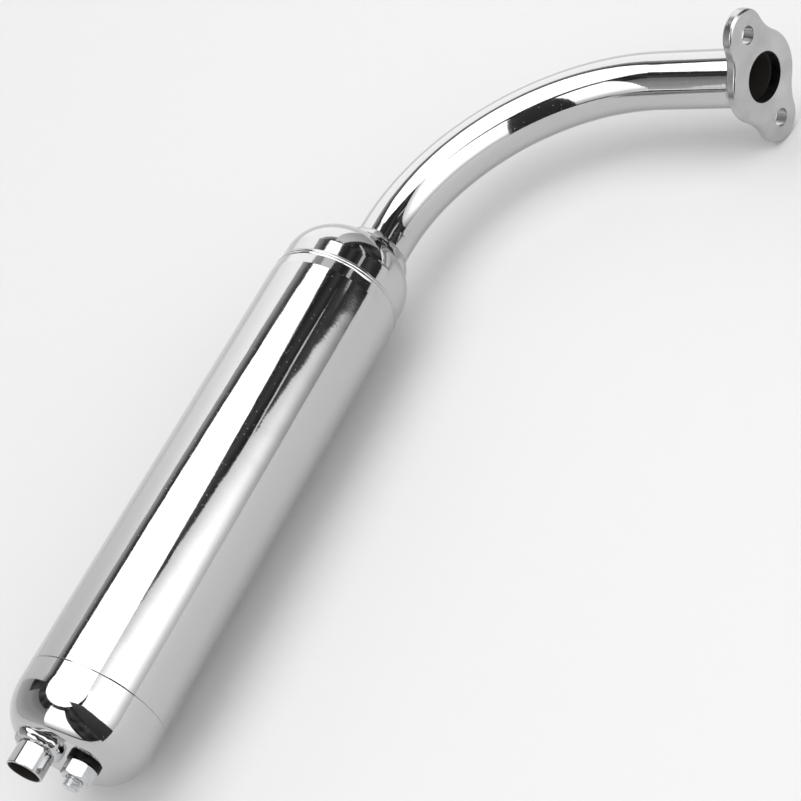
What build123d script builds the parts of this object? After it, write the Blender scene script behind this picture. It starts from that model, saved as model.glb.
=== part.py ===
from build123d import *

import math
import os

# Chromed exhaust for a small two-stroke engine: a bent head pipe on a two-hole flange,
# welded to a round muffler whose tail cap and baffle core come out after one nut is undone.
#
# Frame: the origin is the centre of the port on the flange's mating face. The head pipe
# leaves along -X and bends to -Y, the muffler runs along -Y, and +Z is up. Millimetres.

os.makedirs("parts", exist_ok=True)

# Flange
flange_tilt = 13.0  # the mating face is turned this far from square to the pipe
flange_thickness = 4.5
flange_body_radius = 17.5
flange_ear_radius = 9.5
flange_waist_radius = 20.0
flange_edge_radius = 1.2
stud_spacing = 40.0
stud_hole_radius = 3.5
port_radius = 9.5

# Head pipe
pipe_radius = 11.0
pipe_wall = 1.2
pipe_lead = 42.5  # from the mating face to the start of the bend
bend_radius = 85.0
pipe_reach = 12.0  # how far the pipe stands inside the front cap

# Can
can_offset_x = -6.0  # can axis from the pipe axis
can_offset_z = 2.0
can_radius = 25.5
can_length = 180.0
can_wall = 0.8
lip_y = -116.0
lip_radius = 25.0
lip_taper = 5.5
seam_chamfer = 0.25

flange_weld_leg = 3.0
flange_weld_toe = 0.25
pipe_weld_leg = 3.4
pipe_weld_height = 3.5
seam_weld_reach = 1.8  # bead's reach over the front cap
seam_weld_lap = 1.0  # and over the shell
seam_weld_crown = 0.5
bead_fullness = 0.62  # the middle of a collar's face, as a share of its leg and height
bead_toe = 0.3  # the collar's outer toe lies this share of its height below the cap's end
bead_root = 2.0  # and its root this many heights, before the cap's own shape is cut away

# Front cap
dome_radius = 24.7
dome_straight = 7.0
dome_corner = (15.7, 16.5)  # radial and axial half-axes of the rounded corner
dome_wall = 1.0
spigot_gap = 0.05
spigot_length = 5.0

# End cap
cap_depth = 22.0
cap_corner = (9.5, 15.5)
cap_wall = 1.0
cap_spigot_gap = 0.1
cap_spigot_length = 8.0

# Tail outlet and stud, placed from the can axis
tail_offset = (-5.5, 6.7)
tail_radius = 6.5
tail_wall = 1.1
tail_stand = 11.0
tail_rim_radius = 0.4
tail_weld_leg = 3.0
tail_weld_height = 3.2
stud_offset = (10.0, 0.3)
stud_radius = 3.0
stud_stand = 3.2
stud_inner_stand = 2.0
stud_tip_radius = 1.4
thread_gap = 0.05
nut_flats = 10.0
nut_height = 5.6
nut_face_radius = 4.9
nut_rim_radius = 6.0  # just past the nut's corners
nut_chamfer_run = 0.6
washer_radius = 5.9
washer_thickness = 1.6
washer_gap = 0.1
washer_split = 1.0

# Core and anchor
rear_baffle_s = 158.0  # stations along the can, measured from the front lip to the tail
front_baffle_s = 100.0
baffle_wall = 1.2
baffle_radius = 24.4
baffle_lip = 5.0
baffle_tube_offset = (-6.0, -9.5)
baffle_tube_radius = 8.0
baffle_tube_wall = 1.0
baffle_tube_lead = 8.0
hole_radius = 1.6
hole_pitch = 8.0
hole_rings = 6
hole_pairs = 3
hole_start = 8.0
drill_length = 3 * baffle_tube_radius  # clears both walls of the tube
tail_reach = 8.0  # the outlet tube stands this far through the rear baffle
stud_clearance = 0.6
bracket_s = 24.0
bracket_width = 14.0
bracket_thickness = 2.5
bracket_tab = 9.0
bracket_weld_leg = 2.0
bracket_weld_inset = 1.0
anchor_nut_height = 5.0
core_weld_leg = 1.2

# Derived places
bend_x = -pipe_lead - bend_radius
can_x = bend_x + can_offset_x
cap_face_s = can_length + cap_depth
nut_base_s = cap_face_s + washer_thickness
stud_end_s = nut_base_s + nut_height + stud_stand
stud_start_s = bracket_s - anchor_nut_height - stud_inner_stand
shell_inner = can_radius - can_wall
spigot_radius = lip_radius - can_wall - spigot_gap
dome_inner_corner = (dome_corner[0] - dome_wall, dome_corner[1] - dome_wall)
dome_height = dome_straight + dome_corner[1]
pipe_end_y = lip_y + dome_height - pipe_reach
cap_straight = cap_depth - cap_corner[1]
cap_inner_corner = (cap_corner[0] - cap_wall, cap_corner[1] - cap_wall)
cap_spigot_radius = shell_inner - cap_spigot_gap
tab_end_s = bracket_s + bracket_thickness - bracket_tab
tab_s = tab_end_s + bracket_tab / 2
tab_x = shell_inner - bracket_thickness / 2

tilt = math.radians(flange_tilt)
flange_face = Plane(
    origin=(0, 0, 0),
    x_dir=(math.sin(tilt), math.cos(tilt), 0),
    z_dir=(math.cos(tilt), -math.sin(tilt), 0),
)
flange_back = flange_face.offset(-flange_thickness)
pipe_start = Plane(origin=(0, 0, 0), x_dir=(0, 1, 0), z_dir=(-1, 0, 0))


def section(offset=(0, 0)):
    """Half-section plane through an axis along the can: x is the radius, y the station."""
    origin = (can_x + offset[0], lip_y, can_offset_z + offset[1])
    return Plane(origin=origin, x_dir=(1, 0, 0), z_dir=(0, 0, -1))


def across(station, offset=(0, 0)):
    """Plane square to the can at a station, its normal towards the tail."""
    origin = (can_x + offset[0], lip_y - station, can_offset_z + offset[1])
    return Plane(origin=origin, x_dir=(1, 0, 0), z_dir=(0, -1, 0))


def axis_at(offset=(0, 0)):
    """Axis along the can, towards the tail."""
    return Axis((can_x + offset[0], lip_y, can_offset_z + offset[1]), (0, -1, 0))


def cup_face(radius, base, side, straight, corner):
    """Half-section of a filled cup: a straight wall from its base, then an elliptical
    corner, then a flat end. Side is 1 towards the tail and -1 towards the flange."""
    flat = radius - corner[0]
    shoulder = base + side * straight
    top = shoulder + side * corner[1]
    with BuildSketch(section()) as face:
        with BuildLine():
            Polyline((0, top), (0, base), (radius, base), (radius, shoulder))
            EllipticalCenterArc((flat, shoulder), corner[0], corner[1], arc_size=90 * side)
            Line((flat, top), (0, top))
        make_face()
    return face.sketch


def bead_face(offset, radius, leg, station, side, height):
    """Half-section of a convex fillet bead round a tube that stands on a cap's end."""
    root = station - bead_root * side * height
    toe = station - bead_toe * side * height
    with BuildSketch(section(offset)) as face:
        with BuildLine():
            ThreePointArc(
                (radius, station + side * height),
                (radius + bead_fullness * leg, station + bead_fullness * side * height),
                (radius + leg, toe),
            )
            Polyline(
                (radius + leg, toe), (radius + leg, root), (radius, root),
                (radius, station + side * height),
            )
        make_face()
    return face.sketch


def finish(piece, name):
    """Labels a finished piece and writes it."""
    piece.part.label = name
    export_step(piece.part, f"parts/{name}.step")


pipe_offset = (-can_offset_x, -can_offset_z)

# Exhaust flange: a round body with an ear at each stud, its waists blended
with BuildPart() as exhaust_flange:
    with BuildSketch(flange_back):
        Circle(flange_body_radius)
        with Locations((0, stud_spacing / 2), (0, -stud_spacing / 2)):
            Circle(flange_ear_radius)
        waists = vertices().filter_by(lambda corner: abs(corner.Y) > stud_spacing / 4)
        fillet(waists, flange_waist_radius)
    extrude(amount=flange_thickness)
    fillet(edges(), flange_edge_radius)
    with BuildSketch(flange_back):
        Circle(port_radius)
        with Locations((0, stud_spacing / 2), (0, -stud_spacing / 2)):
            Circle(stud_hole_radius)
    extrude(amount=flange_thickness, mode=Mode.SUBTRACT)
finish(exhaust_flange, "exhaust_flange")

# Head pipe: straight lead, quarter bend, straight run into the front cap
with BuildPart() as head_pipe:
    with BuildLine():
        lead = Line((0, 0, 0), (-pipe_lead, 0, 0))
        bend = JernArc(start=lead @ 1, tangent=lead % 1, radius=bend_radius, arc_size=90)
        Line(bend @ 1, (bend_x, pipe_end_y, 0))
    with BuildSketch(pipe_start):
        Circle(pipe_radius)
        Circle(pipe_radius - pipe_wall, mode=Mode.SUBTRACT)
    sweep()
    split(bisect_by=flange_back, keep=Keep.BOTTOM)
finish(head_pipe, "head_pipe")

# Fillet bead between the flange's back and the pipe, which meet at the flange tilt
with BuildPart() as flange_weld:
    for depth, leg in ((0, flange_weld_leg), (flange_weld_leg, flange_weld_toe)):
        shift = -(flange_thickness + depth) * math.tan(tilt)
        with BuildSketch(flange_back.offset(-depth)):
            with Locations((shift, 0)):
                Ellipse(pipe_radius / math.cos(tilt) + leg, pipe_radius + leg)
    loft(ruled=True)
    with BuildSketch(pipe_start):
        Circle(pipe_radius)
    extrude(amount=pipe_lead, mode=Mode.SUBTRACT)
finish(flange_weld, "flange_weld")

# Front cap: deep-drawn dome with a spigot inside the shell's lip
dome_outside = cup_face(dome_radius, 0, -1, dome_straight, dome_corner)
dome_inside = cup_face(dome_radius - dome_wall, 0, -1, dome_straight, dome_inner_corner)
with BuildPart() as front_cap:
    revolve(dome_outside, axis=axis_at())
    revolve(dome_inside, axis=axis_at(), mode=Mode.SUBTRACT)
    with BuildSketch(section()):
        with BuildLine():
            Polyline(
                (spigot_radius, -dome_wall),
                (spigot_radius, spigot_length),
                (spigot_radius - dome_wall, spigot_length),
                (spigot_radius - dome_wall, -dome_wall),
                close=True,
            )
        make_face()
    revolve(axis=axis_at())
    with BuildSketch(across(-dome_height, pipe_offset)):
        Circle(pipe_radius)
    extrude(amount=dome_height, mode=Mode.SUBTRACT)
finish(front_cap, "front_cap")

# Collar of weld where the pipe enters the front cap
with BuildPart() as pipe_weld:
    collar = bead_face(
        pipe_offset, pipe_radius, pipe_weld_leg, -dome_height, -1, pipe_weld_height
    )
    revolve(collar, axis=axis_at(pipe_offset))
    revolve(dome_outside, axis=axis_at(), mode=Mode.SUBTRACT)
finish(pipe_weld, "pipe_weld")

# Bead over the joint of front cap and shell
with BuildPart() as front_seam_weld:
    with BuildSketch(section()):
        with BuildLine():
            lap_radius = lip_radius + (can_radius - lip_radius) * seam_weld_lap / lip_taper
            ThreePointArc(
                (dome_radius, -seam_weld_reach),
                (lip_radius + seam_weld_crown, (seam_weld_lap - seam_weld_reach) / 2),
                (lap_radius, seam_weld_lap),
            )
            Polyline(
                (lap_radius, seam_weld_lap),
                (lip_radius, 0),
                (dome_radius, 0),
                (dome_radius, -seam_weld_reach),
            )
        make_face()
    revolve(axis=axis_at())
finish(front_seam_weld, "front_seam_weld")

# Can shell: tube drawn in at the front lip, its tail edge broken
with BuildPart() as can_shell:
    with BuildSketch(section()):
        with BuildLine():
            Polyline(
                (lip_radius, 0),
                (can_radius, lip_taper),
                (can_radius, can_length - seam_chamfer),
                (can_radius - seam_chamfer, can_length),
                (shell_inner, can_length),
                (shell_inner, lip_taper),
                (lip_radius - can_wall, 0),
                close=True,
            )
        make_face()
    revolve(axis=axis_at())
finish(can_shell, "can_shell")

# Strap across the can that holds the front end of the stud, its tabs welded to the wall
with BuildPart() as stud_bracket:
    with BuildSketch(section((0, stud_offset[1]))):
        with Locations((0, bracket_s + bracket_thickness / 2)):
            Rectangle(2 * shell_inner, bracket_thickness)
        with Locations((tab_x, tab_s), (-tab_x, tab_s)):
            Rectangle(bracket_thickness, bracket_tab)
    extrude(amount=bracket_width / 2, both=True)
    with BuildSketch(across(0)):
        Circle(shell_inner)
    extrude(amount=can_length, mode=Mode.INTERSECT)
    with BuildSketch(across(0, stud_offset)):
        Circle(stud_radius + thread_gap)
    extrude(amount=can_length, mode=Mode.SUBTRACT)
finish(stud_bracket, "stud_bracket")

with BuildPart() as bracket_welds:
    with BuildSketch(section((0, stud_offset[1]))):
        for side in (1, -1):
            with BuildLine():
                Polyline(
                    (side * can_radius, tab_end_s),
                    (side * (shell_inner - bracket_weld_leg), tab_end_s),
                    (side * shell_inner, tab_end_s - bracket_weld_leg),
                    (side * can_radius, tab_end_s - bracket_weld_leg),
                    close=True,
                )
            make_face()
    extrude(amount=bracket_width / 2 - bracket_weld_inset, both=True)
    with BuildSketch(across(0)):
        Circle(shell_inner)
    extrude(amount=can_length, mode=Mode.INTERSECT)
finish(bracket_welds, "bracket_welds")

# Stud from the strap, out through the end cap, its tip rounded
with BuildPart() as stud:
    with BuildSketch(across(stud_start_s, stud_offset)):
        Circle(stud_radius)
    extrude(amount=stud_end_s - stud_start_s)
    tip = faces().sort_by(Axis.Y)[0]
    fillet(tip.edges(), stud_tip_radius)
finish(stud, "stud")

with BuildPart() as anchor_nuts:
    for station in (bracket_s - anchor_nut_height, bracket_s + bracket_thickness):
        with BuildSketch(across(station, stud_offset)):
            RegularPolygon(nut_flats / 2, 6, major_radius=False, rotation=30)
            Circle(stud_radius + thread_gap, mode=Mode.SUBTRACT)
        extrude(amount=anchor_nut_height)
finish(anchor_nuts, "anchor_nuts")

# End cap: pressed cup, flush with the shell, with a spigot inside it
cap_outside = cup_face(can_radius, can_length, 1, cap_straight, cap_corner)
cap_inside = cup_face(can_radius - cap_wall, can_length, 1, cap_straight, cap_inner_corner)
with BuildPart() as end_cap:
    revolve(cap_outside, axis=axis_at())
    revolve(cap_inside, axis=axis_at(), mode=Mode.SUBTRACT)
    with BuildSketch(section()):
        with BuildLine():
            Polyline(
                (cap_spigot_radius, can_length + cap_wall),
                (cap_spigot_radius, can_length - cap_spigot_length),
                (cap_spigot_radius - cap_wall, can_length - cap_spigot_length),
                (cap_spigot_radius - cap_wall, can_length + cap_wall),
                close=True,
            )
        make_face()
    revolve(axis=axis_at())
    with BuildSketch(section()):
        with BuildLine():
            Polyline(
                (can_radius, can_length),
                (can_radius, can_length + seam_chamfer),
                (can_radius - seam_chamfer, can_length),
                close=True,
            )
        make_face()
    revolve(axis=axis_at(), mode=Mode.SUBTRACT)
    with BuildSketch(across(can_length, tail_offset)):
        Circle(tail_radius)
    extrude(amount=cap_depth, mode=Mode.SUBTRACT)
    with BuildSketch(across(can_length, stud_offset)):
        Circle(stud_radius + stud_clearance)
    extrude(amount=cap_depth, mode=Mode.SUBTRACT)
finish(end_cap, "end_cap")

# Outlet tube, welded through the end cap and carrying the rear baffle
with BuildPart() as tail_pipe:
    with BuildSketch(across(rear_baffle_s - tail_reach, tail_offset)):
        Circle(tail_radius)
        Circle(tail_radius - tail_wall, mode=Mode.SUBTRACT)
    extrude(amount=cap_face_s + tail_stand - rear_baffle_s + tail_reach)
    rim = faces().sort_by(Axis.Y)[0]
    fillet(rim.edges(), tail_rim_radius)
finish(tail_pipe, "tail_pipe")

with BuildPart() as tail_weld:
    collar = bead_face(tail_offset, tail_radius, tail_weld_leg, cap_face_s, 1, tail_weld_height)
    revolve(collar, axis=axis_at(tail_offset))
    revolve(cap_outside, axis=axis_at(), mode=Mode.SUBTRACT)
finish(tail_weld, "tail_weld")

# Baffles: pressed discs with a lip, free to slide in the shell and over the stud
for name, station, offset, radius in (
    ("rear_baffle", rear_baffle_s, tail_offset, tail_radius),
    ("front_baffle", front_baffle_s, baffle_tube_offset, baffle_tube_radius),
):
    with BuildPart() as baffle:
        with BuildSketch(across(station)):
            Circle(baffle_radius)
        extrude(amount=baffle_lip)
        with BuildSketch(across(station + baffle_wall)):
            Circle(baffle_radius - baffle_wall)
        extrude(amount=baffle_lip, mode=Mode.SUBTRACT)
        with BuildSketch(across(station, stud_offset)):
            Circle(stud_radius + stud_clearance)
        extrude(amount=baffle_wall, mode=Mode.SUBTRACT)
        with BuildSketch(across(station, offset)):
            Circle(radius)
        extrude(amount=baffle_wall, mode=Mode.SUBTRACT)
    finish(baffle, name)

# Perforated tube between the baffles, its rear end closed by the rear baffle
with BuildPart() as baffle_tube:
    with BuildSketch(across(front_baffle_s - baffle_tube_lead, baffle_tube_offset)):
        Circle(baffle_tube_radius)
        Circle(baffle_tube_radius - baffle_tube_wall, mode=Mode.SUBTRACT)
    extrude(amount=rear_baffle_s - front_baffle_s + baffle_tube_lead)
    for ring in range(hole_rings):
        station = front_baffle_s + hole_start + ring * hole_pitch
        centre = across(station, baffle_tube_offset).origin
        for turn in range(hole_pairs):
            with Locations(Location(centre, (0, 180 * turn / hole_pairs, 0))):
                Cylinder(hole_radius, drill_length, mode=Mode.SUBTRACT)
finish(baffle_tube, "baffle_tube")

# Fillets that join the core's tubes and discs
with BuildPart() as core_welds:
    for offset, radius, station, side in (
        (tail_offset, tail_radius, rear_baffle_s + baffle_wall, 1),
        (baffle_tube_offset, baffle_tube_radius, rear_baffle_s, -1),
        (baffle_tube_offset, baffle_tube_radius, front_baffle_s, -1),
    ):
        with BuildSketch(section(offset)):
            with BuildLine():
                Polyline(
                    (radius, station),
                    (radius + core_weld_leg, station),
                    (radius, station + side * core_weld_leg),
                    close=True,
                )
            make_face()
        revolve(axis=axis_at(offset))
finish(core_welds, "core_welds")

# Spring washer with its split
with BuildPart() as lock_washer:
    with BuildSketch(across(cap_face_s, stud_offset)):
        Circle(washer_radius)
        Circle(stud_radius + washer_gap, mode=Mode.SUBTRACT)
        Rectangle(
            washer_split, washer_radius, align=(Align.CENTER, Align.MAX), mode=Mode.SUBTRACT
        )
    extrude(amount=washer_thickness)
finish(lock_washer, "lock_washer")

# Hexagon nut, its corners chamfered at both faces
with BuildPart() as hex_nut:
    with BuildSketch(across(nut_base_s, stud_offset)):
        RegularPolygon(nut_flats / 2, 6, major_radius=False, rotation=30)
    extrude(amount=nut_height)
    with BuildSketch(section(stud_offset)):
        with BuildLine():
            Polyline(
                (0, nut_base_s),
                (nut_face_radius, nut_base_s),
                (nut_rim_radius, nut_base_s + nut_chamfer_run),
                (nut_rim_radius, nut_base_s + nut_height - nut_chamfer_run),
                (nut_face_radius, nut_base_s + nut_height),
                (0, nut_base_s + nut_height),
                close=True,
            )
        make_face()
    revolve(axis=axis_at(stud_offset), mode=Mode.INTERSECT)
    with BuildSketch(across(nut_base_s, stud_offset)):
        Circle(stud_radius + thread_gap)
    extrude(amount=nut_height, mode=Mode.SUBTRACT)
finish(hex_nut, "hex_nut")
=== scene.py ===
import math

import bpy
import numpy as np
from bpy.props import FloatProperty, FloatVectorProperty, IntProperty, PointerProperty
from mathutils import Matrix, Vector


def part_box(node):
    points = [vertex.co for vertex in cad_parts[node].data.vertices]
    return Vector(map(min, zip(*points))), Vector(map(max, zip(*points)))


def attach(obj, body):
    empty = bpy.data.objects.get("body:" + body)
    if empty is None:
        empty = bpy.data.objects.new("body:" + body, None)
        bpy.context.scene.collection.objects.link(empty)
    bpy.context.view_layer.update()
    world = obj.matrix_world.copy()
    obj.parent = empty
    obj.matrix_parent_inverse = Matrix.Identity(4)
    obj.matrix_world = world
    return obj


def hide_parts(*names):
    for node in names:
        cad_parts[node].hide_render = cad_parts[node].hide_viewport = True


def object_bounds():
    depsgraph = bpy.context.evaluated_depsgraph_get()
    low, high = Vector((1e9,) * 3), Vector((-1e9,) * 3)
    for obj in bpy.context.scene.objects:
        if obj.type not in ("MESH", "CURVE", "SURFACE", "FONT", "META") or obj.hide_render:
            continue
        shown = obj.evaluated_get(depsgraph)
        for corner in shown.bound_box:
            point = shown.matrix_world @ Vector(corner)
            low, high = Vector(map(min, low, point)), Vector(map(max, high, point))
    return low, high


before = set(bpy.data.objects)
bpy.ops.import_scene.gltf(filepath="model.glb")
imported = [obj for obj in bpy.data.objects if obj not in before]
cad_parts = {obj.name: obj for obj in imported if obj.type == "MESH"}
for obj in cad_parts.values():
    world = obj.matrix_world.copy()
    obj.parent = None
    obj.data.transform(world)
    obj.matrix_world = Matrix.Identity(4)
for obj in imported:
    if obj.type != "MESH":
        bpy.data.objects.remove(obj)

bl_info = {
    "name": "Chromed Exhaust Finish",
    "version": (1, 0, 0),
    "blender": (4, 5, 0),
    "location": "View3D > Sidebar > Exhaust",
    "description": "Plates, welds and threads a small two-stroke exhaust and lights it",
    "category": "Object",
}

MM = 0.001
CAD_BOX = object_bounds()


def linear(code):
    """Linear RGB from an sRGB hex code."""
    channels = np.array([int(code[i:i + 2], 16) for i in (0, 2, 4)]) / 255
    return tuple(np.where(channels <= 0.04045, channels / 12.92, ((channels + 0.055) / 1.055) ** 2.4))


# ---------------------------------------------------------------- places read from the frame

def middle(node):
    """The centre of a node's box."""
    low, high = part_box(node)
    return (low + high) / 2


SHELL_LOW, SHELL_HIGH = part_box("can_shell")
CAN_X, CAN_Z = middle("can_shell")[0], middle("can_shell")[2]
CAN_R = (SHELL_HIGH[0] - SHELL_LOW[0]) / 2
LIP_Y, SEAM_Y = SHELL_HIGH[1], SHELL_LOW[1]
CAP_FACE_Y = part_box("lock_washer")[1][1]
PIPE_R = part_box("head_pipe")[1][2]
RUN_X = middle("pipe_weld")[0]
TAIL_X, TAIL_Z = middle("tail_pipe")[0], middle("tail_pipe")[2]
TAIL_R = (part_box("tail_pipe")[1][0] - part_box("tail_pipe")[0][0]) / 2
STUD_X, STUD_Z = middle("stud")[0], middle("stud")[2]
STUD_R = (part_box("stud")[1][0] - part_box("stud")[0][0]) / 2
DOME_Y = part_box("front_cap")[1][1]
FACE_LOW, FACE_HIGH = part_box("hex_nut")
BEND_R = 85 * MM
FLANGE_TILT = math.radians(13)
FLANGE_BACK = 4.5 * MM
SKIRT_R = CAN_R - 0.8 * MM
LIP_R = CAN_R - 0.5 * MM
DOME_FLAT_R, DOME_DROP = 9 * MM, 16.5 * MM
CAP_FLAT_R, CAP_DROP = 16 * MM, 15.5 * MM
FLOOR_Z = CAD_BOX[0][2]
STUDIO_CENTRE = np.array([CAN_X / 2, (LIP_Y + SEAM_Y) / 2, 0])


# ---------------------------------------------------------------- settings a user would change

class StudioSettings(bpy.types.PropertyGroup):
    """Camera, table and softboxes"""
    eye: FloatVectorProperty(
        name="Camera", description="Camera position", subtype="TRANSLATION", unit="LENGTH",
        default=(0.33459, -0.50293, 0.45081))
    right: FloatVectorProperty(
        name="Camera right", description="Direction across the view to its right",
        subtype="DIRECTION", default=(0.8037, 0.4205, -0.4211))
    back: FloatVectorProperty(
        name="Camera back", description="Direction from the object towards the camera",
        subtype="DIRECTION", default=(0.5916, -0.4877, 0.642))
    lens: FloatProperty(name="Lens", description="Focal length on a 36 mm sensor, in mm", default=90.6)
    floor: FloatVectorProperty(
        name="Floor", description="Matt pale table", subtype="COLOR", default=linear("D2D2D2"))
    reach: FloatProperty(
        name="Studio radius", description="Distance of the softboxes", unit="LENGTH", default=2.5)


class PlatingSettings(bpy.types.PropertyGroup):
    """Colours of the finishes and the waves in the sheet"""
    chrome: FloatVectorProperty(
        name="Chrome", description="Polished chrome plate", subtype="COLOR", default=linear("C2C2C3"))
    satin: FloatVectorProperty(
        name="Satin chrome", description="Chrome over an unpolished casting", subtype="COLOR",
        default=linear("BDBDBD"))
    zinc: FloatVectorProperty(
        name="Zinc", description="Bright zinc plate", subtype="COLOR", default=linear("C9CBCC"))
    steel: FloatVectorProperty(
        name="Mild steel", description="Bare mild steel", subtype="COLOR", default=linear("A5A29D"))
    oxide: FloatVectorProperty(
        name="Black oxide", description="Blackened spring steel", subtype="COLOR",
        default=linear("1B1B1C"))
    # Painted shade: a near black colour for the unplated inside of the tubes, standing in for the shade
    # inside the bores.
    bore_shade: FloatVectorProperty(
        name="Inside_shade", description="Unplated, sooty inside of the tubes", subtype="COLOR",
        default=linear("1F1A17"))
    ripple: FloatProperty(
        name="Ripple spacing", description="Spacing of the soft waves in rolled sheet",
        unit="LENGTH", default=13 * MM)
    ripple_height: FloatProperty(
        name="Ripple height", description="Full height of the soft waves", unit="LENGTH",
        precision=6, default=0.055 * MM)


class WeldSettings(bpy.types.PropertyGroup):
    """Size and spacing of the ripples on the beads"""
    ripple: FloatProperty(
        name="Ripple spacing", description="Distance between the crescents left by the torch",
        unit="LENGTH", precision=5, default=2.9 * MM)
    depth: FloatProperty(
        name="Ripple depth", description="How deep the crescents are", unit="LENGTH", precision=6,
        default=0.05 * MM)
    bury: FloatProperty(
        name="Bury", description="How far each bead runs into the metal under it", unit="LENGTH",
        precision=5, default=0.35 * MM)
    columns: IntProperty(name="Columns", description="Steps round a bead", default=540)


class FastenerSettings(bpy.types.PropertyGroup):
    """Thread and hexagon sizes"""
    pitch: FloatProperty(
        name="Thread pitch", description="Distance between threads", unit="LENGTH", precision=5,
        default=1 * MM)
    thread_depth: FloatProperty(
        name="Thread depth", description="From crest to root", unit="LENGTH", precision=5,
        default=0.52 * MM)
    rear_thread: FloatProperty(
        name="Rear thread", description="Threaded length at the nut's end", unit="LENGTH",
        default=27 * MM)
    front_thread: FloatProperty(
        name="Front thread", description="Threaded length at the anchor's end", unit="LENGTH",
        default=21 * MM)
    tip_round: FloatProperty(
        name="Tip round", description="Rounding of the stud's end", unit="LENGTH", precision=5,
        default=1.4 * MM)
    flats: FloatProperty(
        name="Across flats", description="Nut size", unit="LENGTH", default=10 * MM)
    chamfer_r: FloatProperty(
        name="Chamfer radius", description="Radius of the flat ring on the nut's faces",
        unit="LENGTH", precision=5, default=4.65 * MM)


# ---------------------------------------------------------------- node helpers

def add(tree, kind, settings=None, **links):
    """Adds one shader node. Settings go on the node; a link is a value for its named input, or the
    output socket that feeds it. An underscore stands for a space and a final digit for an index."""
    made = tree.nodes.new(kind)
    for key, value in (settings or {}).items():
        setattr(made, key, value)
    for key, value in links.items():
        where = int(key[1:]) if key[0] == "i" and key[1:].isdigit() else key.replace("_", " ")
        socket = made.inputs[where]
        if isinstance(value, bpy.types.NodeSocket):
            tree.links.new(value, socket)
        else:
            socket.default_value = value
    return made


def new_material(name):
    """An empty material with an output and a Principled shader already joined."""
    material = bpy.data.materials.new(name)
    material.use_nodes = True
    tree = material.node_tree
    tree.nodes.clear()
    shader = add(tree, "ShaderNodeBsdfPrincipled")
    add(tree, "ShaderNodeOutputMaterial", Surface=shader.outputs[0])
    return material, tree, shader


def put(tree, value, socket):
    """Links an output to a shader's socket, or sets the number or colour on it."""
    if isinstance(value, bpy.types.NodeSocket):
        tree.links.new(value, socket)
    else:
        socket.default_value = (*value, 1) if isinstance(value, tuple) else value


def math_node(tree, operation, first, second=0.0):
    """The output of a Math node."""
    return add(tree, "ShaderNodeMath", {"operation": operation}, i0=first, i1=second).outputs[0]


def object_point(tree):
    """The shaded point in the object's own metres."""
    return add(tree, "ShaderNodeTexCoord").outputs["Object"]


# ---------------------------------------------------------------- materials

def straight_bore(x, z):
    """A mask maker for a tube along Y: the distance from its axis at x, z."""
    def distance(tree, point):
        offset = add(tree, "ShaderNodeVectorMath", {"operation": "SUBTRACT"}, i0=point, i1=(x, 0, z))
        flat = add(tree, "ShaderNodeVectorMath", {"operation": "MULTIPLY"}, i0=offset.outputs[0],
                   i1=(1, 0, 1))
        return add(tree, "ShaderNodeVectorMath", {"operation": "LENGTH"}, i0=flat.outputs[0]).outputs[1]
    return distance


def bent_bore(tree, point):
    """The distance from the head pipe's centre line. The pipe runs along X, bends and runs along -Y.
    How far a point lies beyond each run towards the bend gives its distance from the bend's centre,
    and that less the bend's radius, with its height, gives the distance from the line."""
    axis = add(tree, "ShaderNodeSeparateXYZ", Vector=point)
    beyond_x = math_node(tree, "MAXIMUM", math_node(tree, "SUBTRACT", RUN_X + BEND_R, axis.outputs[0]))
    beyond_y = math_node(tree, "MAXIMUM", math_node(tree, "ADD", axis.outputs[1], BEND_R))
    flat = add(tree, "ShaderNodeCombineXYZ", X=beyond_x, Y=beyond_y)
    out = add(tree, "ShaderNodeVectorMath", {"operation": "LENGTH"}, i0=flat.outputs[0]).outputs[1]
    section = add(tree, "ShaderNodeCombineXYZ", X=math_node(tree, "SUBTRACT", out, BEND_R),
                  Y=axis.outputs[2])
    return add(tree, "ShaderNodeVectorMath", {"operation": "LENGTH"}, i0=section.outputs[0]).outputs[1]


def chrome_relief(tree, point, settings):
    """The bumps of plated sheet, as a normal: slow waves left by rolling and polishing, pinholes
    where the plate did not take, hairlines, and a faint orange peel."""
    slow = add(tree, "ShaderNodeTexNoise", Vector=point, Scale=1 / settings.ripple, Detail=1.0,
               Roughness=0.4)
    waves = add(tree, "ShaderNodeBump", Strength=1.0, Distance=settings.ripple_height,
                Height=slow.outputs[0])
    pits = add(tree, "ShaderNodeTexVoronoi", {"feature": "F1"}, Vector=point, Scale=1 / (1.3 * MM))
    bowl = add(tree, "ShaderNodeMapRange", {"interpolation_type": "SMOOTHSTEP"},
               Value=pits.outputs["Distance"], From_Min=0.03, From_Max=0.12, To_Min=1.0, To_Max=0.0)
    pick = add(tree, "ShaderNodeSeparateColor", Color=pits.outputs["Color"])
    some = math_node(tree, "MULTIPLY", bowl.outputs[0],
                     math_node(tree, "GREATER_THAN", pick.outputs[0], 0.6))
    pinholes = add(tree, "ShaderNodeBump", {"invert": True}, Strength=1.0, Distance=0.03 * MM,
                   Height=some, Normal=waves.outputs[0])
    across_can, along_can = 1 / (1.1 * MM), 1 / (60 * MM)
    along = add(tree, "ShaderNodeMapping", Vector=point, Scale=(across_can, along_can, across_can))
    lines = add(tree, "ShaderNodeTexNoise", Vector=along.outputs[0], Scale=1.0, Detail=2.0)
    hairlines = add(tree, "ShaderNodeBump", Strength=1.0, Distance=0.0022 * MM,
                    Height=lines.outputs[0], Normal=pinholes.outputs[0])
    orange_peel = add(tree, "ShaderNodeTexNoise", Vector=point, Scale=1 / (1.0 * MM), Detail=1.5)
    fine = add(tree, "ShaderNodeBump", Strength=1.0, Distance=0.004 * MM,
               Height=orange_peel.outputs[0], Normal=hairlines.outputs[0])
    return fine.outputs[0], some


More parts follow.
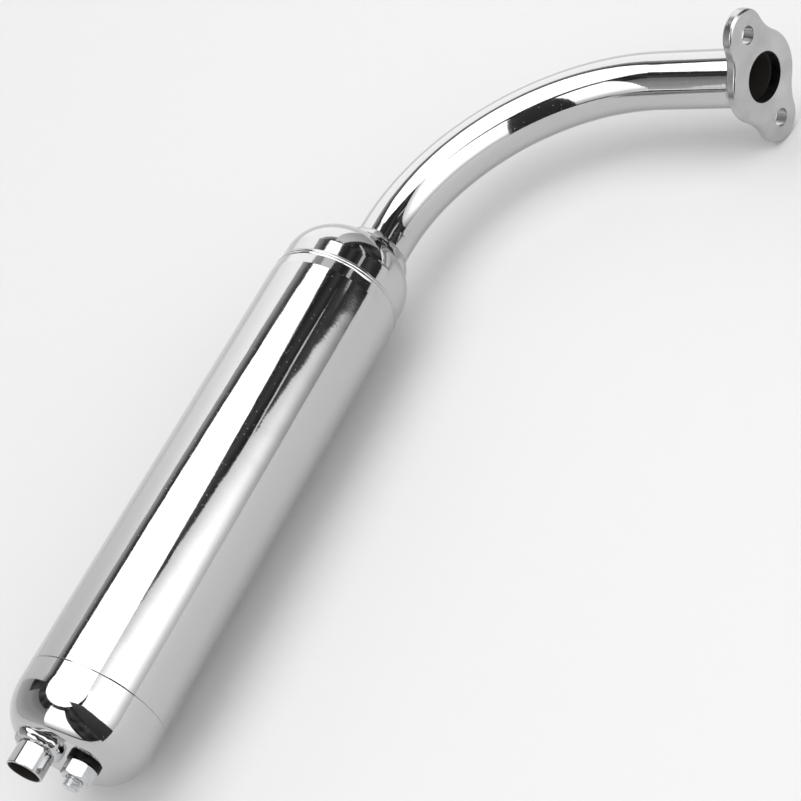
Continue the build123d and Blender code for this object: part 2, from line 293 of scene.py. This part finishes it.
def polished_chrome(name, settings, bore=None, bore_radius=0.0):
    """Decorative chrome over polished nickel: a near-perfect mirror with waves, pinholes and
    hairlines. Inside bore_radius of the bore's axis the metal is unplated and painted near black as
    shade."""
    material, tree, shader = new_material(name)
    point = object_point(tree)
    relief, pinholes = chrome_relief(tree, point, settings)
    haze = add(tree, "ShaderNodeTexNoise", Vector=point, Scale=1 / (26 * MM), Detail=6, Roughness=0.65)
    rough = add(tree, "ShaderNodeMapRange", Value=haze.outputs[0], From_Min=0.35, From_Max=0.7,
                To_Min=0.035, To_Max=0.085).outputs[0]
    rough = math_node(tree, "ADD", rough, math_node(tree, "MULTIPLY", pinholes, 0.3))
    dull = add(tree, "ShaderNodeMix", {"data_type": "RGBA"}, i0=pinholes,
               i6=(*settings.chrome, 1), i7=(*linear("8A8A8A"), 1)).outputs[2]
    put(tree, relief, shader.inputs["Normal"])
    if bore is None:
        put(tree, dull, shader.inputs["Base Color"])
        put(tree, 1.0, shader.inputs["Metallic"])
        put(tree, rough, shader.inputs["Roughness"])
        return material
    # Painted shade: inside the bore the metal is unplated and matt, and painted near black with
    # mottling between half and full strength, for the shade inside the tube.
    outside = math_node(tree, "GREATER_THAN", bore(tree, point), bore_radius)
    shade_mottle = add(tree, "ShaderNodeTexNoise", Vector=point, Scale=1 / (2.5 * MM), Detail=5)
    painted_shade = add(tree, "ShaderNodeMix", {"data_type": "RGBA"}, i0=shade_mottle.outputs[0],
                i6=(*[c * 0.5 for c in settings.bore_shade], 1), i7=(*settings.bore_shade, 1)).outputs[2]
    colour = add(tree, "ShaderNodeMix", {"data_type": "RGBA"}, i0=outside, i6=painted_shade, i7=dull)
    gloss = add(tree, "ShaderNodeMix", i0=outside, i2=0.75, i3=rough)
    put(tree, colour.outputs[2], shader.inputs["Base Color"])
    put(tree, outside, shader.inputs["Metallic"])
    put(tree, gloss.outputs[0], shader.inputs["Roughness"])
    return material


def plain_metal(name, colour, roughness, grain_mm, depth_mm):
    """A metal with a fine random grain that softens its gloss."""
    material, tree, shader = new_material(name)
    point = object_point(tree)
    grain = add(tree, "ShaderNodeTexNoise", Vector=point, Scale=1 / (grain_mm * MM), Detail=3)
    stain = add(tree, "ShaderNodeTexNoise", Vector=point, Scale=1 / (9 * MM), Detail=4)
    tint = add(tree, "ShaderNodeMapRange", {"data_type": "FLOAT"}, Value=stain.outputs[0],
               From_Min=0.3, From_Max=0.7, To_Min=0.86, To_Max=1.06)
    shade = add(tree, "ShaderNodeVectorMath", {"operation": "SCALE"}, i0=tuple(colour),
                Scale=tint.outputs[0])
    rough = add(tree, "ShaderNodeMapRange", Value=grain.outputs[0], From_Min=0.3, From_Max=0.7,
                To_Min=roughness * 0.8, To_Max=roughness * 1.25)
    bump = add(tree, "ShaderNodeBump", Strength=1.0, Distance=depth_mm * MM, Height=grain.outputs[0])
    put(tree, shade.outputs[0], shader.inputs["Base Color"])
    put(tree, 1.0, shader.inputs["Metallic"])
    put(tree, rough.outputs[0], shader.inputs["Roughness"])
    put(tree, bump.outputs[0], shader.inputs["Normal"])
    return material


# ---------------------------------------------------------------- shapes

def smooth(x):
    """0 below 0, 1 above 1, and an S curve between."""
    x = np.clip(x, 0, 1)
    return x * x * (3 - 2 * x)


def direction(azimuth, elevation):
    """Unit vectors: azimuth 0 looks along -Y and 90 along +X, elevation is above the floor."""
    a, e = np.radians(azimuth), np.radians(elevation)
    return np.stack([np.sin(a) * np.cos(e), -np.cos(a) * np.cos(e), np.sin(e)], -1)


def grid_mesh(name, points):
    """A mesh of quads over an (n, m, 3) array of points."""
    n, m = points.shape[:2]
    index = np.arange(n * m).reshape(n, m)
    quads = np.stack([index[:-1, :-1], index[:-1, 1:], index[1:, 1:], index[1:, :-1]], -1)
    mesh = bpy.data.meshes.new(name)
    mesh.from_pydata(points.reshape(-1, 3).tolist(), [], quads.reshape(-1, 4).tolist())
    mesh.polygons.foreach_set("use_smooth", np.ones(len(mesh.polygons), bool))
    return mesh


def closed_mesh(name, points, ends_wrap):
    """A closed surface of quads over an (n, m, 3) array whose rows wrap round. Its first and last
    rows are joined to each other, or each is closed by a fan on its middle point. Faces point out."""
    n, m = points.shape[:2]
    index = np.arange(n * m).reshape(n, m)
    near = index if ends_wrap else index[:-1]
    far = np.roll(index, -1, 0) if ends_wrap else index[1:]
    quads = np.stack([near, np.roll(near, -1, 1), np.roll(far, -1, 1), far], -1).reshape(-1, 4)
    vertices = points.reshape(-1, 3)
    fans = np.empty((0, 3), int)
    if not ends_wrap:
        vertices = np.concatenate([vertices, points[[0, -1]].mean(1)])
        first, last = index[0], index[-1]
        fans = np.concatenate([
            np.stack([np.roll(first, -1), first, np.full(m, n * m)], -1),
            np.stack([last, np.roll(last, -1), np.full(m, n * m + 1)], -1)])
    a, b, c, d = (vertices[quads[:, i]] for i in range(4))
    volume = (np.cross(a, b) * c).sum() + (np.cross(a, c) * d).sum()
    if volume < 0:
        quads, fans = quads[:, ::-1], fans[:, ::-1]
    mesh = bpy.data.meshes.new(name)
    mesh.from_pydata(vertices.tolist(), [], quads.tolist() + fans.tolist())
    mesh.polygons.foreach_set("use_smooth", np.ones(len(mesh.polygons), bool))
    return mesh


def piece(name, mesh, material, body, node):
    """Puts a mesh in the scene in place of a CAD node, on that node's body."""
    thing = bpy.data.objects.new(name, mesh)
    mesh.materials.append(material)
    bpy.context.scene.collection.objects.link(thing)
    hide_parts(node)
    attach(thing, body)
    return thing


def wander(angle, seed, lowest, highest):
    """A closed random curve round a circle: sines of whole frequencies with seeded heights and
    phases, scaled to run between about -1 and 1."""
    random = np.random.default_rng(seed)
    orders = np.arange(lowest, highest + 1)
    heights = random.normal(size=orders.size) / orders ** 0.5
    phases = random.uniform(0, 2 * np.pi, orders.size)
    curve = (heights[:, None] * np.sin(orders[:, None] * angle.ravel() + phases[:, None])).sum(0)
    return (curve / np.abs(curve).max()).reshape(angle.shape)


def fillet_bead(name, origin, frame_axes, tube_r, leg, rise, ground, lump, settings, seed):
    """A weld bead between a tube and the metal it stands on. Its section is a quarter of a rounded
    square from the tube down to the toe. Leg and rise swell by seeded sines, and crescent ripples
    ride on the crown. Below, the section is closed inside the tube and the ground. The axes are
    two across the tube and one along it, and ground is the height of the metal along that axis."""
    u = np.linspace(0, 2 * np.pi, settings.columns, endpoint=False)[:, None]
    section = np.linspace(0, np.pi / 2, 27)[None, :]
    sine, cosine = np.sin(section) ** 0.85, np.cos(section) ** 0.85
    reach = leg * (1 + lump * wander(u, seed, 1, 5))
    height = rise * (1 + 0.8 * lump * wander(u, seed + 1, 2, 11))
    count = round(2 * np.pi * (tube_r + leg / 2) / settings.ripple)
    phase = count * u + 1.4 * wander(u, seed + 2, 1, 6) + 1.8 * np.sin(section)
    crest = settings.depth * (np.cos(phase) + lump * wander(u, seed + 3, 12, 40)) * np.sin(2 * section)
    radius = tube_r - settings.bury + (reach + settings.bury) * sine + crest * sine
    base = ground(radius, u)
    stand = base + height * cosine + crest * cosine - 0.25 * settings.bury * sine ** 4
    under_r = np.concatenate([radius[:, -1:], np.full_like(u, tube_r - settings.bury)], 1)
    under = ground(under_r, u) - settings.bury
    radius, stand = np.concatenate([radius, under_r], 1), np.concatenate([stand, under], 1)
    e1, e2, axis = (np.array(vector, float) for vector in frame_axes)
    points = (np.array(origin) + (radius * np.cos(u))[..., None] * e1
              + (radius * np.sin(u))[..., None] * e2 + stand[..., None] * axis)
    return closed_mesh(name, points, True)


def dome_height(radius):
    """Y of the front dome's outside at a distance from the can's axis: flat in the middle, then a
    quarter of an ellipse down to a straight skirt."""
    part = np.clip((radius - DOME_FLAT_R) / (SKIRT_R - DOME_FLAT_R), 0, 1)
    return DOME_Y - DOME_DROP * (1 - np.sqrt(1 - part ** 2))


def cap_height(radius):
    """-Y of the end cap's outside: flat in the middle, then a quarter of an ellipse."""
    part = np.clip((radius - CAP_FLAT_R) / (CAN_R - CAP_FLAT_R), 0, 1)
    return -CAP_FACE_Y - CAP_DROP * (1 - np.sqrt(1 - part ** 2))


def seam_bead_mesh(name, settings):
    """The bead where the front cap enters the can. Along the can its section has two soft ridges
    with a groove between, over the step from the cap's skirt to the can's lip. Its edges and its
    crown wander by seeded sines, with crescent ripples. Inside, it is closed under the metal."""
    u = np.linspace(0, 2 * np.pi, 2 * settings.columns, endpoint=False)[:, None]
    t = np.linspace(0, 1, 31)[None, :]
    start = -1.75 * MM + 0.25 * MM * wander(u, 41, 2, 14)
    end = 1.25 * MM + 0.35 * MM * wander(u, 42, 2, 17)
    along = start + (end - start) * t
    step = smooth((along + 0.5 * MM) / (0.7 * MM))
    ground = SKIRT_R + (LIP_R - SKIRT_R) * step + 0.09 * np.clip(along, 0, None)
    middle_t = 0.55 + 0.06 * wander(u, 43, 2, 12)
    ridges = np.sin(np.pi * t) ** 0.8 * (1 - 0.75 * np.exp(-((t - middle_t) / 0.13) ** 2))
    crown = 0.42 * MM * (1 + 0.25 * wander(u, 44, 2, 23))
    count = round(2 * np.pi * CAN_R / (1.3 * settings.ripple))
    phase = count * u + 2.2 * wander(u, 45, 1, 8) + 2.5 * t
    crest = 0.5 * settings.depth * np.cos(phase) * np.sin(np.pi * t)
    radius = ground + crown * ridges + crest - 0.05 * MM
    inner = np.full_like(u, SKIRT_R - settings.bury)
    radius = np.concatenate([radius, inner, inner], 1)
    along = np.concatenate([along, end, start], 1)
    points = np.stack([CAN_X + radius * np.sin(u), LIP_Y - along, CAN_Z + radius * np.cos(u)], -1)
    return closed_mesh(name, points, True)


def thread(turns):
    """0 at a thread's crest and 1 at its root, with narrow flats at both, for a number of turns."""
    wave = np.abs(2 * (turns % 1) - 1)
    return np.clip(1.3 * wave - 0.15, 0, 1)


def stud_mesh(name, settings):
    """The through stud: a rod with a helical thread cut in both ends, where the depth of a point
    follows its distance along the rod plus its share of a turn, and a rounded tip."""
    low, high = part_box("stud")
    length = high[1] - low[1]
    step = settings.pitch / 10
    rear = np.arange(0, settings.rear_thread, step)
    front = np.arange(length - settings.front_thread, length + step / 2, step)
    shank = np.linspace(rear[-1] + step, front[0] - step, 24)
    depth_in = np.concatenate([rear, shank, front])[:, None]
    u = np.linspace(0, 2 * np.pi, 40, endpoint=False)[None, :]
    run_out = (smooth((settings.rear_thread - 1 * MM - depth_in) / (1 * MM))
               + smooth((depth_in - length + settings.front_thread - 1 * MM) / (1 * MM)))
    cut = settings.thread_depth * thread(depth_in / settings.pitch + u / (2 * np.pi)) * run_out
    round_off = settings.tip_round
    inside = np.clip(1 - depth_in / round_off, 0, 1)
    tip = STUD_R - round_off * (1 - np.sqrt(1 - inside ** 2))
    blunt = STUD_R - np.clip(0.5 * MM - (length - depth_in), 0, None)
    radius = np.minimum(np.minimum(STUD_R - 0.02 * MM - cut, tip), blunt)
    y = low[1] + depth_in + 0 * u
    points = np.stack([STUD_X + radius * np.sin(u), y, STUD_Z + radius * np.cos(u)], -1)
    return closed_mesh(name, points, False)


def nut_mesh(name, settings):
    """The nut: a hexagon cut by a cone at each face, with a threaded bore that opens in small
    countersinks. Half the flats' distance over the cosine of the angle from a flat's middle gives
    the hexagon, and the smaller of that and the two cones gives the outside."""
    height = FACE_HIGH[1] - FACE_LOW[1]
    u = np.linspace(0, 2 * np.pi, 144, endpoint=False)[None, :]
    from_flat = (u % (np.pi / 3)) - np.pi / 6
    hexagon = np.minimum(settings.flats / 2 / np.cos(from_flat), 0.57 * settings.flats)
    half = np.concatenate([np.linspace(0, 0.7, 12), [0.9, 1.4, 2.0]]) * MM
    up = np.concatenate([half, (height - half)[::-1]])[:, None]
    cone = settings.chamfer_r + math.sqrt(3) * np.minimum(up, height - up)
    outside = np.minimum(hexagon, cone)
    steps = round(height / settings.pitch * 10)
    bore_up = np.linspace(height, 0, steps)[:, None]
    sink = np.clip(0.4 * MM - np.minimum(bore_up, height - bore_up), 0, None)
    bore_r = STUD_R + 0.04 * MM + 0.3 * MM * (1 - thread(bore_up / settings.pitch + u / (2 * np.pi)))
    bore_r = np.maximum(bore_r, STUD_R + 0.04 * MM + 1.2 * sink)
    radius = np.concatenate([outside, bore_r])
    y = FACE_LOW[1] + np.concatenate([up, bore_up]) + 0 * u
    points = np.stack([STUD_X + radius * np.sin(u), y, STUD_Z + radius * np.cos(u)], -1)
    mesh = closed_mesh(name, points, True)
    mesh.set_sharp_from_angle(angle=math.radians(28))
    return mesh


# ---------------------------------------------------------------- stage

def staged(name, mesh, material):
    """Puts a mesh in the studio, not on the exhaust."""
    thing = bpy.data.objects.new(name, mesh)
    mesh.materials.append(material)
    bpy.context.scene.collection.objects.link(thing)
    return thing


def glow_material(name):
    """A diffuser cloth: it gives off light by the strength kept in the card's own attribute."""
    material = bpy.data.materials.new(name)
    material.use_nodes = True
    tree = material.node_tree
    tree.nodes.clear()
    level = add(tree, "ShaderNodeAttribute", {"attribute_name": "glow"})
    light = add(tree, "ShaderNodeEmission", Strength=level.outputs["Fac"])
    add(tree, "ShaderNodeOutputMaterial", Surface=light.outputs[0])
    return material


def glow_card(name, azimuth, elevation, levels, material, distance):
    """A card on a sphere round the object that lights it and is mirrored, but isn't seen itself."""
    mesh = grid_mesh(name, STUDIO_CENTRE + distance * direction(azimuth, elevation))
    attribute = mesh.attributes.new("glow", "FLOAT", "POINT")
    attribute.data.foreach_set("value", levels.astype(np.float32).ravel())
    card = staged(name, mesh, material)
    card.visible_camera = False
    return card


def softbox(name, low_edge, high_edge, elevations, glow, material, distance):
    """A card whose two sides run from low_edge to high_edge, azimuth pairs at its foot and its
    head. Glow is a function of azimuth and elevation over the card."""
    across, up = np.meshgrid(np.linspace(0, 1, 49), np.linspace(0, 1, 41))
    left = low_edge[0] + (high_edge[0] - low_edge[0]) * up
    right = low_edge[1] + (high_edge[1] - low_edge[1]) * up
    azimuth = left + (right - left) * across
    elevation = elevations[0] + (elevations[1] - elevations[0]) * up
    return glow_card(name, azimuth, elevation, glow(azimuth, elevation), material, distance)


def rising(low, high, foot, head):
    """A glow that goes from low to high between two elevations."""
    def glow(azimuth, elevation):
        return low + (high - low) * smooth((elevation - foot) / (head - foot))
    return glow


def right_glow(azimuth, elevation):
    """Brighter with height, and dimmer round the back."""
    return (0.8 + 1.7 * smooth(elevation / 24)) * (1 - 0.55 * smooth((azimuth - 109) / 16))


def left_glow(azimuth, elevation):
    """Brighter round the back, above the foot."""
    return 0.85 + 0.7 * smooth((-105 - azimuth) / 28) * smooth(elevation / 12)


def wall_glow(azimuth, elevation):
    """A dim room: products of sines of both angles give soft, uneven patches."""
    a, e = np.radians(azimuth), np.radians(elevation)
    waves = np.sin(7 * a + 2 * np.sin(9 * e)) * np.sin(11 * e + np.sin(3 * a)) + np.sin(17 * a + 5 * e)
    return 0.05 + 0.035 * np.clip(waves, -0.8, 2)


# name, azimuths at the foot and at the head, elevations, glow, distance in studio radii
SOFTBOXES = (
    ("right_softbox", (48, 122), (48, 127.5), (-1.5, 59.3), right_glow, 1),
    ("front_softbox", (-30, 12), (-30, 12), (3, 59), rising(0.7, 2.4, 4, 30), 1),
    ("left_softbox", (-170, -100), (-170, -100), (-1.5, 43), left_glow, 1),
    ("left_rail", (-172, -100), (-172, -100), (43, 54), rising(0.5, 0.05, 44, 53), 1),
    ("left_wall", (-100, -30), (-100, -30), (-1.5, 27), rising(0.62, 0.42, 0, 27), 1),
    ("left_fill", (-86, -30), (-86, -30), (27, 47), rising(0.42, 0.25, 27, 47), 1),
    ("low_streak", (128, 158), (131, 155), (28, 32), rising(0.75, 0.75, 0, 1), 1),
    ("high_streak", (123, 134), (126, 133), (40, 42), rising(0.9, 0.9, 0, 1), 1),
    ("room_wall", (-180, 180), (-180, 180), (-1.5, 89), wall_glow, 1.3),
    ("backdrop", (-180, 180), (-180, 180), (-45, 89.9), rising(0.84, 0.84, 0, 1), 3.4),
    ("back_wall", (166, 190), (168, 190), (-1.5, 52), rising(0.5, 0.9, 0, 52), 1),
)


def build_studio(settings):
    """Floor, softboxes with dark gaps between them, pale backdrop and camera."""
    cloth = glow_material("diffuser_cloth")
    reach = settings.reach
    across, up = np.meshgrid(np.linspace(-180, 180, 97), np.linspace(0, 1, 31))
    edge = 60 + 6.0 * np.cos(np.radians(across - 20))
    glow_card("overhead_softbox", across, edge + (90 - edge) * up, np.full(across.shape, 2.6),
              cloth, reach)
    cards = {name: softbox(name, low_edge, high_edge, elevations, glow, cloth, distance * reach)
             for name, low_edge, high_edge, elevations, glow, distance in SOFTBOXES}
    backdrop = cards["backdrop"]
    backdrop.visible_camera = True
    backdrop.visible_diffuse = backdrop.visible_glossy = backdrop.visible_shadow = False

    dark, tree, shader = new_material("black_cloth")
    put(tree, (0.02, 0.02, 0.02), shader.inputs["Base Color"])
    put(tree, 0.9, shader.inputs["Roughness"])
    x, z = np.meshgrid(np.linspace(-0.01, 0.28, 2), np.linspace(0, 0.62, 2))
    upright = np.stack([x, np.full(x.shape, -0.41), z], -1)
    card = staged("camera_stand", grid_mesh("camera_stand", upright), dark)
    card.visible_camera = card.visible_diffuse = card.visible_shadow = False

    table, tree, shader = new_material("matt_table")
    put(tree, tuple(settings.floor), shader.inputs["Base Color"])
    put(tree, 0.7, shader.inputs["Roughness"])
    radius, turn = np.meshgrid(np.linspace(0, 1.02 * reach, 2), np.linspace(0, 2 * np.pi, 129))
    disc = np.stack([STUDIO_CENTRE[0] + radius * np.cos(turn),
                     STUDIO_CENTRE[1] + radius * np.sin(turn),
                     np.full(radius.shape, FLOOR_Z - 0.2 * MM)], -1)
    staged("floor", grid_mesh("floor", disc), table)

    world = bpy.data.worlds.new("studio_room")
    bpy.context.scene.world = world
    world.use_nodes = True
    world.node_tree.nodes["Background"].inputs["Color"].default_value = (0.06, 0.06, 0.06, 1)
    bpy.context.scene.view_settings.view_transform = "Standard"

    camera = bpy.data.objects.new("camera", bpy.data.cameras.new("camera"))
    bpy.context.scene.collection.objects.link(camera)
    bpy.context.scene.camera = camera
    right, back = Vector(settings.right).normalized(), Vector(settings.back).normalized()
    turn = Matrix((right, back.cross(right), back)).transposed().to_4x4()
    camera.matrix_world = Matrix.Translation(settings.eye) @ turn
    camera.data.lens = settings.lens
    camera.data.clip_start = 0.01
    camera.data.clip_end = 50


# ---------------------------------------------------------------- operators

def cover(node, material):
    """Gives all of a node's surfaces one material."""
    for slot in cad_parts[node].material_slots:
        slot.material = material


class EXHAUST_OT_studio(bpy.types.Operator):
    """Builds the floor, the softboxes and the camera"""
    bl_idname = "exhaust.studio"
    bl_label = "Studio"

    def execute(self, context):
        build_studio(context.scene.exhaust_studio)
        return {"FINISHED"}


class EXHAUST_OT_plate(bpy.types.Operator):
    """Gives every part that stays as designed its plated or bare finish"""
    bl_idname = "exhaust.plate"
    bl_label = "Plate the parts"

    def execute(self, context):
        settings = context.scene.exhaust_plating
        chrome = polished_chrome("polished_chrome", settings)
        for node in ("front_cap", "end_cap"):
            cover(node, chrome)
        cover("can_shell", polished_chrome(
            "polished_chrome_can", settings, straight_bore(CAN_X, CAN_Z), CAN_R - 0.65 * MM))
        cover("head_pipe", polished_chrome(
            "polished_chrome_pipe", settings, bent_bore, PIPE_R - 0.7 * MM))
        cover("tail_pipe", polished_chrome(
            "polished_chrome_tail", settings, straight_bore(TAIL_X, TAIL_Z), TAIL_R - 0.6 * MM))
        cover("exhaust_flange", plain_metal("satin_chrome", settings.satin, 0.2, 1.6, 0.035))
        zinc = plain_metal("bright_zinc", settings.zinc, 0.28, 0.5, 0.01)
        cover("anchor_nuts", zinc)
        cover("lock_washer", plain_metal("black_oxide", settings.oxide, 0.4, 0.4, 0.01))
        steel = plain_metal("bare_mild_steel", settings.steel, 0.38, 0.9, 0.02)
        for node in ("stud_bracket", "bracket_welds", "rear_baffle", "front_baffle", "baffle_tube",
                     "core_welds"):
            cover(node, steel)
        return {"FINISHED"}


class EXHAUST_OT_welds(bpy.types.Operator):
    """Builds the four plated weld beads"""
    bl_idname = "exhaust.welds"
    bl_label = "Weld beads"

    def execute(self, context):
        weld, plating = context.scene.exhaust_weld, context.scene.exhaust_plating
        plated = plain_metal("plated_weld", plating.chrome, 0.08, 2.2, 0.035)
        x, y, z = np.eye(3)

        def over_dome(radius, u):
            return dome_height(np.hypot(RUN_X + radius * np.cos(u) - CAN_X, radius * np.sin(u) - CAN_Z))

        def over_cap(radius, u):
            return cap_height(np.hypot(TAIL_X + radius * np.cos(u) - CAN_X,
                                       TAIL_Z + radius * np.sin(u) - CAN_Z))

        def over_flange(radius, u):
            return (FLANGE_BACK - math.sin(FLANGE_TILT) * radius * np.cos(u)) / math.cos(FLANGE_TILT)

        piece("pipe_weld_bead", fillet_bead(
            "pipe_weld_bead", (RUN_X, 0, 0), (x, z, y), PIPE_R, 3.2 * MM, 3.4 * MM, over_dome,
            0.2, weld, 11), plated, "muffler", "pipe_weld")
        piece("tail_weld_bead", fillet_bead(
            "tail_weld_bead", (TAIL_X, 0, TAIL_Z), (x, z, -y), TAIL_R, 2.7 * MM, 2.9 * MM, over_cap,
            0.25, weld, 23), plated, "tail_core", "tail_weld")
        piece("flange_weld_bead", fillet_bead(
            "flange_weld_bead", (0, 0, 0), (y, z, -x), PIPE_R, 2.7 * MM, 2.8 * MM, over_flange,
            0.24, weld, 31), plated, "muffler", "flange_weld")
        piece("front_seam_bead", seam_bead_mesh("front_seam_bead", weld), plated,
              "muffler", "front_seam_weld")
        return {"FINISHED"}


class EXHAUST_OT_fasteners(bpy.types.Operator):
    """Builds the threaded stud and the hexagon nut"""
    bl_idname = "exhaust.fasteners"
    bl_label = "Stud and nut"

    def execute(self, context):
        fastener, plating = context.scene.exhaust_fastener, context.scene.exhaust_plating
        zinc = plain_metal("zinc_fastener", plating.zinc, 0.24, 0.6, 0.008)
        piece("threaded_stud", stud_mesh("threaded_stud", fastener), zinc, "muffler",
              "stud")
        piece("hexagon_nut", nut_mesh("hexagon_nut", fastener), zinc, "nut", "hex_nut")
        return {"FINISHED"}


class EXHAUST_PT_sidebar(bpy.types.Panel):
    """Lists the exhaust's tools"""
    bl_label = "Exhaust"
    bl_idname = "EXHAUST_PT_sidebar"
    bl_space_type = "VIEW_3D"
    bl_region_type = "UI"
    bl_category = "Exhaust"

    def draw(self, context):
        for tool in TOOLS:
            self.layout.operator(tool.bl_idname)


TOOLS = (EXHAUST_OT_studio, EXHAUST_OT_plate, EXHAUST_OT_welds, EXHAUST_OT_fasteners)
GROUPS = {"exhaust_studio": StudioSettings, "exhaust_plating": PlatingSettings,
          "exhaust_weld": WeldSettings, "exhaust_fastener": FastenerSettings}
CLASSES = (*GROUPS.values(), *TOOLS, EXHAUST_PT_sidebar)


def register():
    """Registers the classes and hangs each group of settings on the scene."""
    for each in CLASSES:
        bpy.utils.register_class(each)
    for name, group in GROUPS.items():
        setattr(bpy.types.Scene, name, PointerProperty(type=group))


def unregister():
    """Takes away what register added."""
    for name in GROUPS:
        delattr(bpy.types.Scene, name)
    for each in reversed(CLASSES):
        bpy.utils.unregister_class(each)


def main():
    """Builds everything."""
    register()
    bpy.ops.exhaust.studio()
    bpy.ops.exhaust.plate()
    bpy.ops.exhaust.welds()
    bpy.ops.exhaust.fasteners()


if __name__ == "__main__":
    main()
